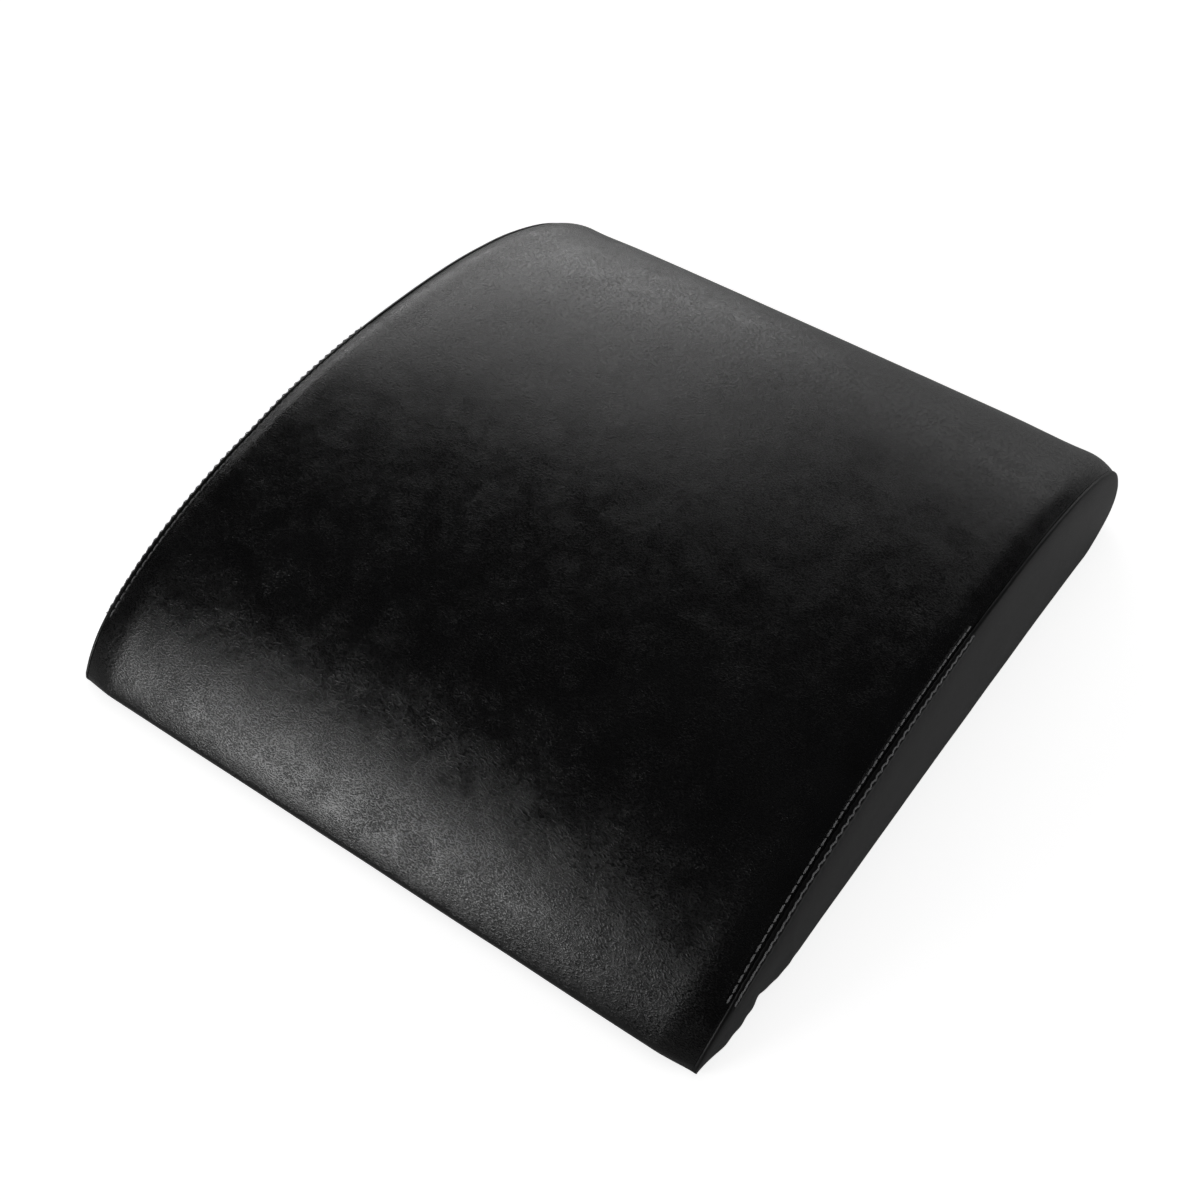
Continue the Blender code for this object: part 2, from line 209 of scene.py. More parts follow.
# The cloth whose swelling under pressure the cover takes over
swell_start = 0.0004
swell_cap = 0.0016
swell_row_step = 5
swell_columns = 40
swell_edge_columns = (0.004, 0.009)
swell_voxel = 0.005
swell_hold = 0.008
swell_end_points = 100
swell_foot = 0.004
swell_foot_fade = 0.006
swell_frames = 20
swell_quality = 6
swell_mass = 0.3
swell_pressure = 5.0
swell_tension = 15
swell_bending = 0.5
swell_growth = 0.0002
swell_reach = 0.008
swell_neighbours = 40

# Seeds of the random draws
top_stitch_seed = 3
top_lie_seed = 11
gusset_seeds = {"left": 7, "right": 9}
gusset_lie_step = 20
tape_seed = 31

# Materials: sizes of what is drawn on them, and depths of their finest bumps
wrinkle_size = 0.00040
wrinkle_wander = (0.009, 0.0016)
wrinkle_ways = ((math.radians(8), 0.34), (math.radians(-38), 0.36), (math.radians(60), 0.42))
way_patch = 0.026
drift_patch = 0.019
depth_patch = 0.013
pebble_size = 0.00080
pebble_wander = (0.003, 0.0005)
pebble_share = 0.45
pore_size = 0.00030
pore_depth = 0.000006
mottle_size = 0.03
gloss_mottle = 0.012
weave_pitch = 0.00055
cloth_sheen = 0.2
mix_inputs = {"FLOAT": 2, "RGBA": 6}
mix_outputs = {"FLOAT": 0, "RGBA": 2}

# Camera, fitted to the photograph
camera_azimuth = math.radians(31.668)
camera_elevation = math.radians(46.550)
camera_roll = math.radians(4.392)
camera_distance = 0.76353
camera_shift = (0.01445, 0.01666)
camera_target = Vector((0, 0, 0.020))
camera_clip = (0.01, 50)
focal_pixels = 1709.4
frame_pixels = 1200
sensor_width = 36.0

# Studio
lamp_target = Vector((0, 0, 0.04))
world_wall_height = 0.25
world_low_strength = 0.0015
world_high_strength = 0.0005
floor_size = 12
floor_drop = 0.0006
floor_colour = (0.5, 0.5, 0.5)
floor_roughness = 0.9
floor_glow = 0.82

# The two sides and the two halves of the zip, with the way that each lies
sides = {"left": -1, "right": 1}
halves = {"upper": -1, "lower": 1}


def linked(name, data):
    """A named object in the scene."""
    made = bpy.data.objects.new(name, data)
    bpy.context.scene.collection.objects.link(made)
    return made


def mesh_object(name, points, faces):
    """A smoothly shaded object from points and faces."""
    data = bpy.data.meshes.new(name)
    data.from_pydata([tuple(p) for p in points], [], [tuple(f) for f in faces])
    data.validate()
    data.shade_smooth()
    return linked(name, data)


def eased(share):
    """A share from 0 to 1 that starts and ends softly."""
    share = np.clip(share, 0, 1)
    return share * share * (3 - 2 * share)


def bezier(p0, p1, p2, p3, steps):
    """Points of one cubic span, both ends included."""
    t = np.linspace(0.0, 1.0, steps + 1)[:, None]
    p0, p1, p2, p3 = (np.array(p, dtype=float) for p in (p0, p1, p2, p3))
    return (1 - t) ** 3 * p0 + 3 * (1 - t) ** 2 * t * p1 + 3 * (1 - t) * t ** 2 * p2 + t ** 3 * p3


def arc_lengths(path):
    """Distance along a path at each of its points."""
    return np.r_[0.0, np.cumsum(np.linalg.norm(np.diff(path, axis=0), axis=1))]


def sampled(path, along, spots):
    """Points of a path at some distances along it."""
    return np.stack([np.interp(spots, along, path[:, k]) for k in range(path.shape[1])], axis=1)


def even_steps(path, step):
    """The same path with its points a step apart."""
    along = arc_lengths(path)
    count = max(2, int(round(along[-1] / step)) + 1)
    return sampled(path, along, np.linspace(0.0, along[-1], count))


def unit(vectors):
    """Vectors of length 1."""
    return vectors / np.linalg.norm(vectors, axis=-1, keepdims=True)


def placed(x, spots):
    """Points in the frame, from sideways positions and points of the side profile."""
    return np.stack([x, spots[..., 0] - mat_length / 2, spots[..., 1]], axis=-1)


class Profile:
    """The side profile in (distance from the front, height)."""

    def __init__(self):
        radius = front_foot_radius
        angles = np.linspace(math.acos(1 - cover_lift / radius), math.pi / 2, foot_angles)
        foot = np.c_[radius - radius * np.sin(angles), radius - radius * np.cos(angles)]
        crown = np.array((crown_distance, crown_height))
        rise = bezier((0, front_upright), (front_lean, front_upright + front_rise_handle),
                      crown - (crown_front_handle, 0), crown, curve_steps)
        self.face_top = np.array((mat_length - rear_face_lean, rear_face_top))
        self.face_bottom = np.array((mat_length, rear_face_bottom))
        fall = bezier(crown, crown + (crown_rear_handle, 0),
                      (self.face_top[0] - rear_face_lean, rear_face_top + rear_drop_handle),
                      self.face_top, curve_steps)
        self.face_middle = (self.face_top + self.face_bottom) / 2
        self.down = unit(self.face_bottom - self.face_top)
        self.out = np.array((-self.down[1], self.down[0]))
        slot_top = self.on_face(-slot_half_width)
        slot_bottom = self.on_face(slot_half_width)
        heel = bezier(self.face_bottom, (mat_length, rear_face_bottom - rear_foot_handle),
                      (mat_length - rear_foot_run + rear_foot_handle, 0),
                      (mat_length - rear_foot_run, 0), heel_steps)
        flat = np.array([(mat_length - rear_foot_run, 0), (base_front_edge, 0)])
        self.top = even_steps(np.vstack([foot, rise, fall[1:], [slot_top]]), row_step)
        self.heel = even_steps(np.vstack([[slot_bottom], heel]), row_step)
        self.base = np.vstack([self.heel, even_steps(flat, middle_step)[1:]])
        slot = even_steps(np.array([slot_top, slot_bottom]), row_step)
        self.around = np.vstack([self.top, slot[1:-1], self.heel])

    def on_face(self, down, out=0.0):
        """A point of the upright rear face, a distance below its middle line and out from it."""
        return self.face_middle + self.down * down + self.out * out


def outward(path):
    """Unit normals of a path that runs front to rear over the top, pointing out of the pad."""
    ahead = np.vstack([path[1:], path[-1:]])
    behind = np.vstack([path[:1], path[:-1]])
    along = unit(ahead - behind)
    return np.c_[-along[:, 1], along[:, 0]]


def sink_at(path):
    """Depth by which the sheet lies below the profile at the side seam."""
    depths = (seam_sink_front, seam_sink_front, seam_sink_middle,
              seam_sink_middle, seam_sink_rear, seam_sink_rear)
    depth = np.interp(path[:, 0] / mat_length, sink_length_shares, depths)
    height = path[:, 1]
    front = depth * np.clip(height / front_upright, 0, 1)
    low = seam_sink_face * np.clip(height / rear_face_bottom, 0, 1)
    high = np.clip((height - rear_face_bottom) / (rear_face_top - rear_face_bottom), 0, 1)
    rear = low + (depth - seam_sink_face) * high
    return np.where(path[:, 0] < crown_distance, front, rear)


def roll_share(x):
    """Share of the rolled edge that lies inside a sideways position, a little past 1 in the groove."""
    return np.clip((np.abs(x) - (sheet_edge - roll_width)) / roll_width, 0, roll_overrun)


def lowered(path, x):
    """Depth of the sheet below the profile at a sideways position, for each point of the path."""
    near = eased((path[:, 0] - rear_dome_start) / rear_dome_run)
    dome = rear_dome * near * eased((path[:, 1] - rear_dome_foot) / rear_dome_fade)
    return sink_at(path) * roll_share(x) ** 2 + dome * (abs(x) / sheet_edge) ** rear_dome_power


def crown_at(path):
    """How far the top stands proud between its rolled edges, on the front slope."""
    near = eased(1 - path[:, 0] / front_crown_run)
    return front_crown * near * np.clip(path[:, 1] / front_upright, 0, 1)


def taper_at(distance):
    """Share of its full width that the pad has at a distance from the front."""
    share = np.clip(1 - distance / front_taper_run, 0, 1)
    return 1 - front_taper / seam_half_width * share ** 2


def waves(points, length, seed):
    """A smooth random field from -1 to 1 or so, made of plane waves of about one length."""
    draw = np.random.default_rng(seed)
    total = np.zeros(len(points))
    for _ in range(wave_count):
        way = draw.normal(size=3)
        way *= 2 * math.pi / (length * draw.uniform(*wave_lengths) * np.linalg.norm(way))
        total += np.cos(points @ way + draw.uniform(0, 2 * math.pi))
    return total / math.sqrt(wave_count / 2)


def stitched(distance):
    """1 where the side seams carry topstitching, falling to 0 past its ends."""
    front = np.clip((distance - stitch_front_end) / stitch_pitch, 0, 1)
    rear = np.clip((stitch_rear_end - distance) / stitch_pitch, 0, 1)
    return np.minimum(front, rear)


def seam_relief(along, distance, off, seed):
    """How far the leather stands up beside a seam: valleys under the stitches, puckers between."""
    phase = along / stitch_pitch
    hole = 0.5 + 0.5 * np.cos(2 * math.pi * phase)
    draw = np.random.default_rng(seed)
    sizes = draw.uniform(*pucker_sizes, size=int(phase.max()) + 3)
    size = np.interp(phase, np.arange(len(sizes)), sizes)
    reach = np.exp(-((off - stitch_from_seam) / stitch_valley_width) ** 2)
    valley = -stitch_valley * (valley_between + (1 - valley_between) * hole) * reach
    spread = np.exp(-((off - stitch_from_seam) / pucker_reach) ** 2)
    pucker = pucker_height * size * (0.5 - hole) * spread
    lip = lip_height * np.exp(-((off - lip_from_seam) / lip_width) ** 2)
    return (valley + pucker + lip) * stitched(distance)


def quarter(radius):
    """(along, drop) of a quarter turn, from flat to upright, both ends included."""
    turn = np.linspace(0, math.pi / 2, fold_angles + 1)
    return radius * np.sin(turn), radius * (1 - np.cos(turn))


def cross_columns(half):
    """Distances from the seam of the columns in one half of a sheet, fold first, and their drop."""
    along, drop = quarter(top_fold_radius)
    off = list((top_fold_radius - along)[::-1])
    for gap in edge_steps:
        off.append(off[-1] + gap)
    rest = half - off[-1]
    count = int(math.ceil(rest / middle_step))
    for _ in range(count):
        off.append(off[-1] + rest / count)
    return np.array(off), np.r_[drop[::-1], np.zeros(len(off) - len(drop))]


def hemmed(path, normals, ends):
    """The path with a rounded hem past its last point, with its normals and its points' depths."""
    along, drop = quarter(hem_fold_radius)
    reach = arc_lengths(path)
    keep = reach[-1] - reach > hem_fold_radius
    turned = path[-1] + unit(path[-1] - path[-2]) * (along - hem_fold_radius)[:, None]
    same = np.repeat(normals[-1:], len(along), axis=0)
    return np.vstack([path[keep], turned]), np.vstack([normals[keep], same]), np.r_[ends[keep], drop]


class Sheet:
    """A full-width sheet of the cover along a stretch of the profile, as a grid of points."""

    def __init__(self, path, hem_first, stitch_seed=None):
        normals = outward(path)
        half = groove_x - groove_gap
        off, drop = cross_columns(half)
        self.x = np.r_[off - half, half - off[::-1][1:]]
        off = np.r_[off, off[::-1][1:]]
        drop = np.r_[drop, drop[::-1][1:]]
        ends = np.zeros(len(path))
        if hem_first:
            path, normals, ends = hemmed(path[::-1], normals[::-1], ends)
            path, normals, ends = path[::-1], normals[::-1], ends[::-1]
        else:
            path, normals, ends = hemmed(path, normals, ends)
        along = arc_lengths(path)
        depth = np.stack([lowered(path, x) for x in self.x], axis=1) + drop[None] + ends[:, None]
        depth += crown_at(path)[:, None] * (roll_share(self.x)[None] ** front_crown_power - 1)
        if stitch_seed is not None:
            relief = seam_relief(np.repeat(along, len(off)), np.repeat(path[:, 0], len(off)),
                                 np.tile(off, len(along)), stitch_seed)
            depth -= relief.reshape(depth.shape)
        spot = path[:, None] - normals[:, None] * depth[..., None]
        self.points = placed(self.x[None] * taper_at(spot[..., 0]), spot)
        self.off = off
        self.path = path

    def faces(self):
        """Quads of the sheet."""
        return grid_faces(*self.points.shape[:2])


def grid_faces(rows, columns):
    """Quads of a grid whose points run column by column inside each row, facing out of the pad."""
    index = np.arange(rows * columns).reshape(rows, columns)
    corners = (index[:-1, :-1], index[:-1, 1:], index[1:, 1:], index[1:, :-1])
    return np.stack(corners, axis=-1).reshape(-1, 4)


def closed_outline(path, normals, insets, x):
    """Upper line of a closed section at a sideways position, and the flat lower line under it."""
    floor = max(cover_lift, insets[0])
    upper = path - normals * (lowered(path, x) + insets)[:, None]
    upper[:, 1] = np.maximum(upper[:, 1], floor)
    upper[[0, -1], 1] = floor
    shares = arc_lengths(upper)
    shares /= shares[-1]
    low = upper[0, 0] + (upper[-1, 0] - upper[0, 0]) * shares
    return upper, np.c_[low, np.full(len(low), floor)]


def side_shape(path, normals, insets):
    """Upper edge of a side, its height at each point, and the way down to the lower edge."""
    upper, lower = closed_outline(path, normals, insets, sheet_edge)
    span = lower - upper
    length = np.linalg.norm(span, axis=1)
    return upper, length, span / np.maximum(length, touch_gap)[:, None]


def belly_at(depth, length):
    """How far a side bellies out at a depth below the seam, most of all half way down."""
    near = np.minimum(depth, length - depth) / np.maximum(length / 2, touch_gap)
    power = np.where(depth < length / 2, belly_power, lower_belly_power)
    full = np.minimum(1.0, length / belly_full_height)
    return gusset_belly * full * np.sin(math.pi / 2 * np.clip(near, 0, 1) ** power)


def drawn_in(distance, seed):
    """How far the lower edge of a side is drawn in at the front, where it is gathered at the corner."""
    gather = draw_in_depth * np.exp(-((distance - draw_in_middle) / draw_in_reach) ** 2)
    corner = corner_draw_in * np.exp(-(distance / corner_draw_in_reach) ** 2)
    line = np.c_[distance, np.zeros((len(distance), 2))]
    reach = np.clip(2 - distance / draw_in_middle, 0, 1)
    return gather + corner + draw_in_ripple * reach * waves(line, draw_in_ripple_length, seed)


class Gusset:
    """A side panel, from its fold in the seam groove down to its fold under the pad."""

    def __init__(self, profile, hand, seed):
        path = profile.around
        tuck = gusset_tuck * np.clip((path[:, 1] - front_upright / 2) / front_upright, 0, 1)
        self.upper, self.length, self.way = side_shape(path, outward(path), tuck)
        self.depths, self.ins = self.rows_at_seam()
        self.hand = hand
        along = arc_lengths(self.upper)
        distance = self.upper[:, 0]
        gathered = drawn_in(distance, seed)
        rows = []
        for k in range(len(self.depths) + gusset_middle_rows + fold_angles + 1):
            depth, inward = self.row(k)
            spot = self.upper + self.way * depth[:, None]
            width = seam_half_width + belly_at(depth, self.length) - inward
            width -= gathered * (depth / np.maximum(self.length, touch_gap)) ** 2
            if k < len(self.depths):
                width += seam_relief(along, distance, np.full(len(along), self.depths[k]), seed)
            rows.append(placed(hand * width * taper_at(spot[:, 0]), spot))
        self.points = np.array(rows)

    def rows_at_seam(self):
        """Depths of the rows next to the seam and how far they lie inwards, the fold's rows first."""
        turn = np.linspace(-math.pi / 2, math.pi / 2, 2 * fold_angles)
        below = np.cumsum((gusset_fold_radius, *edge_steps))[1:]
        depths = np.r_[gusset_fold_radius * (1 - np.cos(turn)), below]
        return depths, np.r_[gusset_fold_radius * (1 - np.sin(turn)), np.zeros(len(below))]

    def row(self, k):
        """Depth of one row below the seam and how far it lies inwards, at each point of the profile."""
        squeeze = np.minimum(1.0, self.length / (gusset_squeeze * (self.depths[-1] + base_fold_radius)))
        if k < len(self.depths):
            return self.depths[k] * squeeze, np.full(len(squeeze), self.ins[k])
        step = k - len(self.depths)
        if step < gusset_middle_rows:
            start = self.depths[-1] * squeeze
            end = self.length - base_fold_radius * squeeze
            depth = start + (end - start) * (step + 1) / (gusset_middle_rows + 1)
            return depth, np.zeros(len(squeeze))
        step -= gusset_middle_rows
        along, drop = quarter(base_fold_radius)
        return self.length - (base_fold_radius - along[step]) * squeeze, drop[step] * squeeze

    def faces(self):
        """Quads between the rows, wound to face out of the pad."""
        faces = grid_faces(*self.points.shape[:2])
        return faces if self.hand < 0 else faces[:, ::-1]


def tube(points, radius):
    """Points and faces of a closed tube along a line of points."""
    along = unit(np.gradient(points, axis=0))
    guide = np.array((0.0, 0.0, 1.0)) if abs(along[0, 2]) < steep else np.array((1.0, 0.0, 0.0))
    across = unit(np.cross(along, guide))
    other = np.cross(along, across)
    turn = (np.arange(tube_sides) * 2 * math.pi / tube_sides)[None, :, None]
    ring = across[:, None] * np.cos(turn) + other[:, None] * np.sin(turn)
    spots = (points[:, None] + ring * radius).reshape(-1, 3)
    faces = []
    for k in range(len(points) - 1):
        for j in range(tube_sides):
            a, b = k * tube_sides + j, k * tube_sides + (j + 1) % tube_sides
            faces.append((a, b, b + tube_sides, a + tube_sides))
    faces.append(tuple(range(tube_sides))[::-1])
    faces.append(tuple(range(len(spots) - tube_sides, len(spots))))
    return spots, faces


def plate(name, points, shift, faces):
    """A closed sheet from a grid of points and the same grid moved by its thickness."""
    rows, columns = points.shape[:2]
    count = rows * columns
    index = np.arange(count).reshape(rows, columns)
    rim = np.r_[index[0], index[1:, -1], index[-1, -2::-1], index[-2:0:-1, 0]]
    following = np.roll(rim, -1)
    walls = np.stack([rim, rim + count, following + count, following], axis=-1)
    if not np.array_equal(faces[0], grid_faces(rows, columns)[0]):
        walls = walls[:, ::-1]
    spots = np.vstack([points.reshape(-1, 3), (points + shift).reshape(-1, 3)])
    return mesh_object(name, spots, np.vstack([faces, faces[:, ::-1] + count, walls]))


def sew(name, node, line, normals):
    """A row of stitches of two twisted strands along a line that lies on the leather."""
    along = arc_lengths(line)
    count = int(along[-1] // stitch_pitch)
    start = (along[-1] - count * stitch_pitch) / 2
    spots, faces = [], []
    offset = 0
    t = np.linspace(0, 1, stitch_points)
    rise = stitch_rise * np.sin(math.pi * t) ** stitch_rise_power
    rise -= stitch_dive * np.abs(2 * t - 1) ** stitch_dive_power
    for k in range(count):
        places = start + stitch_pitch * (k + (1 - stitch_share) / 2 + stitch_share * t)
        middle = sampled(line, along, places)
        up = unit(sampled(normals, along, places))
        side = np.cross(up, unit(middle[-1] - middle[0]))
        for strand in (0.0, math.pi):
            turn = 2 * math.pi * strand_turns * t + strand
            centre = middle + up * (rise + strand_offset * np.sin(turn))[:, None]
            centre += side * (strand_offset * np.cos(turn))[:, None]
            points, quads = tube(centre, strand_radius)
            spots.append(points)
            faces += [tuple(i + offset for i in quad) for quad in quads]
            offset += len(points)
    dress(mesh_object(name, np.vstack(spots), faces), thread, node)


def grid_normals(points):
    """Unit normals of a grid of points, by row and column."""
    normal = np.cross(np.gradient(points, axis=1), np.gradient(points, axis=0))
    return normal / np.maximum(np.linalg.norm(normal, axis=-1), tiny)[..., None]


def thicken(made, thickness=sheet_thickness):
    """Give an outer surface its thickness, inwards."""
    change = made.modifiers.new("Thickness", "SOLIDIFY")
    change.thickness = thickness
    change.offset = -1
    change.use_even_offset = False


def columns_across(half, near_edge, count):
    """Sideways positions of a closed body's columns: a few near each edge, the others evenly spread."""
    edge = half - np.array((0.0, *near_edge))
    return np.r_[-edge, np.linspace(-half + roll_width, half - roll_width, count), edge[::-1]]


def core_loops(path, insets, columns):
    """Closed outlines of a body under the cover, one for each sideways position."""
    normals = outward(path)
    loops = []
    for x in columns:
        upper, lower = closed_outline(path, normals, insets, x)
        loop = np.vstack([upper, lower[::-1][1:-1]])
        loops.append(placed(x * taper_at(loop[:, 0]), loop))
    return np.array(loops)


def core_side(spots, first, size, count, hand):
    """Point numbers of one bellied side, row by row downwards, and the points with its own added."""
    ids = np.zeros((core_side_rows, count), dtype=int)
    ids[:, [0, -1]] = first, first + count - 1
    ids[0] = first + np.arange(count)
    ids[-1, 1:-1] = first + size - np.arange(1, count - 1)
    edge = spots[ids[0]]
    low = spots[ids[-1]]
    length = np.linalg.norm(low - edge, axis=1)
    for k in range(1, core_side_rows - 1):
        share = k / (core_side_rows - 1)
        row = edge * (1 - share) + low * share
        row[:, 0] += hand * belly_at(length * share, length)
        ids[k, 1:-1] = len(spots) + np.arange(count - 2)
        spots = np.vstack([spots, row[1:-1]])
    return ids, spots


def strip_faces(ids):
    """Faces between rows of point numbers, with no point twice in a face."""
    faces = []
    for upper, lower in zip(ids[:-1], ids[1:]):
        for j in range(len(upper) - 1):
            face = tuple(dict.fromkeys((upper[j], upper[j + 1], lower[j + 1], lower[j])))
            if len(face) > 2:
                faces.append(face)
    return faces


def closed_core(name, path, insets, columns):
    """The foam, or the body that the cloth starts from: closed, with its bellied sides."""
    loops = core_loops(path, insets, columns)
    size = loops.shape[1]
    spots = loops.reshape(-1, 3)
    ring = np.arange(len(spots)).reshape(-1, size)
    after = np.roll(ring, -1, axis=1)
    faces = np.stack([ring[:-1], after[:-1], after[1:], ring[1:]], axis=-1).reshape(-1, 4).tolist()
    for hand, first in ((-1, 0), (1, len(spots) - size)):
        ids, spots = core_side(spots, first, size, len(path), hand)
        faces += [face[::hand] for face in strip_faces(ids)]
    made = mesh_object(name, spots, faces)
    work = bmesh.new()
    work.from_mesh(made.data)
    bmesh.ops.recalc_face_normals(work, faces=work.faces)
    work.to_mesh(made.data)
    work.free()
    return made


def vertex_values(data, kind):
    """The places or the normals of a mesh's points, as rows of three."""
    values = np.zeros(len(data.vertices) * 3)
    data.vertices.foreach_get(kind, values)
    return values.reshape(-1, 3)


def search_tree(spots):
    """A tree that finds the nearest of some points."""
    tree = KDTree(len(spots))
    for k, spot in enumerate(spots):
        tree.insert(spot, k)
    tree.balance()
    return tree


def evaluated(made):
    """An object with its modifiers applied."""
    return made.evaluated_get(bpy.context.evaluated_depsgraph_get())


def cloth_body(path, insets):
    """The closed body that the cloth starts from, meshed evenly."""
    columns = columns_across(sheet_edge, swell_edge_columns, swell_columns)
    made = closed_core("swell_body", path, insets, columns)
    change = made.modifiers.new("Remesh", "REMESH")
    change.mode = "VOXEL"
    change.voxel_size = swell_voxel
    bpy.context.view_layer.update()
    data = bpy.data.meshes.new_from_object(evaluated(made))
    made.modifiers.clear()
    made.data = data
    return made


def freedom(start, seam):
    """How free each point is to swell, from 0 at the seams, both ends and the base to 1."""
    spots = [(hand * seam_half_width, y - mat_length / 2, z) for hand in (-1, 1) for y, z in seam]
    ends = ((-mat_length / 2, front_upright / 2), (mat_length / 2, rear_face_bottom))
    across = np.linspace(-sheet_edge, sheet_edge, swell_end_points)
    spots += [(x, y, z) for x in across for y, z in ends]
    tree = search_tree(spots)
    far = np.array([tree.find(p)[2] for p in start])
    clear = np.clip((far - swell_hold / 2) / swell_hold, 0, 1)
    return eased(clear * np.clip((start[:, 2] - swell_foot) / swell_foot_fade, 0, 1))


def inflated(made, free):
    """Places of the body's points after the cloth has swelled under pressure."""
    group = made.vertex_groups.new(name="held")
    for k, share in enumerate(free):
        group.add([k], float(1 - share), "REPLACE")
    cloth = made.modifiers.new("Cloth", "CLOTH")
    settings = cloth.settings
    settings.quality = swell_quality
    settings.mass = swell_mass
    settings.tension_stiffness = swell_tension
    settings.compression_stiffness = swell_tension
    settings.shear_stiffness = swell_tension / 3
    settings.bending_stiffness = swell_bending
    settings.shrink_min = -swell_growth
    settings.vertex_group_mass = "held"
    settings.pin_stiffness = 1.0
    settings.use_pressure = True
    settings.uniform_pressure_force = swell_pressure
    settings.effector_weights.gravity = 0.0
    cloth.collision_settings.use_collision = False
    for frame_number in range(1, swell_frames + 1):
        bpy.context.scene.frame_set(frame_number)
    return vertex_values(evaluated(made).data, "co")


def swelling(profile):
    """Simulate the cover as cloth under pressure: where each point starts and how it moves."""
    path = np.vstack([profile.around[::swell_row_step][:-1], profile.around[-1:]])
    insets = np.full(len(path), cover_lift)
    made = cloth_body(path, insets)
    start = vertex_values(made.data, "co")
    normals = vertex_values(made.data, "normal")
    free = freedom(start, side_shape(path, outward(path), insets)[0])
    begun = start - normals * (swell_start * free)[:, None]
    made.data.vertices.foreach_set("co", begun.ravel())
    made.data.update()
    moved = inflated(made, free) - begun
    size = np.linalg.norm(moved, axis=1)
    moved *= np.minimum(1.0, swell_cap / np.maximum(size, tiny))[:, None]
    shift = moved - normals * (swell_start * free)[:, None]
    bpy.context.scene.frame_set(1)
    bpy.data.objects.remove(made, do_unlink=True)
    return start, shift


def apply_swelling(points, field):
    """Move a grid of points by the simulated swelling of the nearest points of the cloth."""
    start, shift = field
    tree = search_tree(start)
    flat = points.reshape(-1, 3)
    moved = np.zeros_like(flat)
    for k, spot in enumerate(flat):
        found = tree.find_n(spot, swell_neighbours)
        weights = np.exp(-0.5 * (np.array([f[2] for f in found]) / swell_reach) ** 2)
        moved[k] = weights @ shift[[f[1] for f in found]] / weights.sum()
    return (flat + moved).reshape(points.shape)


def uneven(points, seed):
    """Give a grid of points a slight unevenness along its normals."""
    flat = points.reshape(-1, 3)
    height = lie_height * waves(flat, lie_length, seed)
    height += ripple_height * waves(flat, ripple_length, seed + 1)
    return points + grid_normals(points) * height.reshape(points.shape[:2])[..., None]


class Nodes:
    """A node tree, built node by node."""

    def __init__(self, tree):
        self.tree = tree
        self.coordinates = self.node("ShaderNodeTexCoord").outputs

    def fill(self, spot, value):
        """Link an output to one input, or set the input's value."""
        if isinstance(value, bpy.types.NodeSocket):
            self.tree.links.new(value, spot)
        else:
            spot.default_value = value

    def feed(self, node, **inputs):
        """Fill a node's inputs by name, with _ for a space, and return the node's outputs."""
        for name, value in inputs.items():
            self.fill(node.inputs[name.replace("_", " ")], value)
        return node.outputs

    def node(self, kind, **settings):
        made = self.tree.nodes.new(kind)
        for key, value in settings.items():
            setattr(made, key, value)
        return made

    def pair(self, kind, operation, first, second):
        """What a node works out from two values."""
        made = self.node(kind, operation=operation)
        self.fill(made.inputs[0], first)
        self.fill(made.inputs[1], second)
        return made.outputs[0]

    def product(self, first, second):
        return self.pair("ShaderNodeMath", "MULTIPLY", first, second)

    def ramp(self, value, low, high, out_low=0.0, out_high=1.0, smooth=True):
        """A value mapped from one range to another and kept inside it."""
        made = self.node("ShaderNodeMapRange", interpolation_type="SMOOTHSTEP" if smooth else "LINEAR")
        self.feed(made, Value=value, From_Min=low, From_Max=high)
        return self.feed(made, To_Min=out_low, To_Max=out_high)[0]

    def blend(self, share, first, second, kind="FLOAT"):
        """A value between two numbers, or two colours, by a share."""
        made = self.node("ShaderNodeMix", data_type=kind)
        self.fill(made.inputs[0], share)
        spot = mix_inputs[kind]
        self.fill(made.inputs[spot], first)
        self.fill(made.inputs[spot + 1], second)
        return made.outputs[mix_outputs[kind]]

    def if_seen(self, unseen, seen):
        """One value for the camera and another for all other rays."""
        return self.blend(self.node("ShaderNodeLightPath").outputs["Is Camera Ray"], unseen, seen)


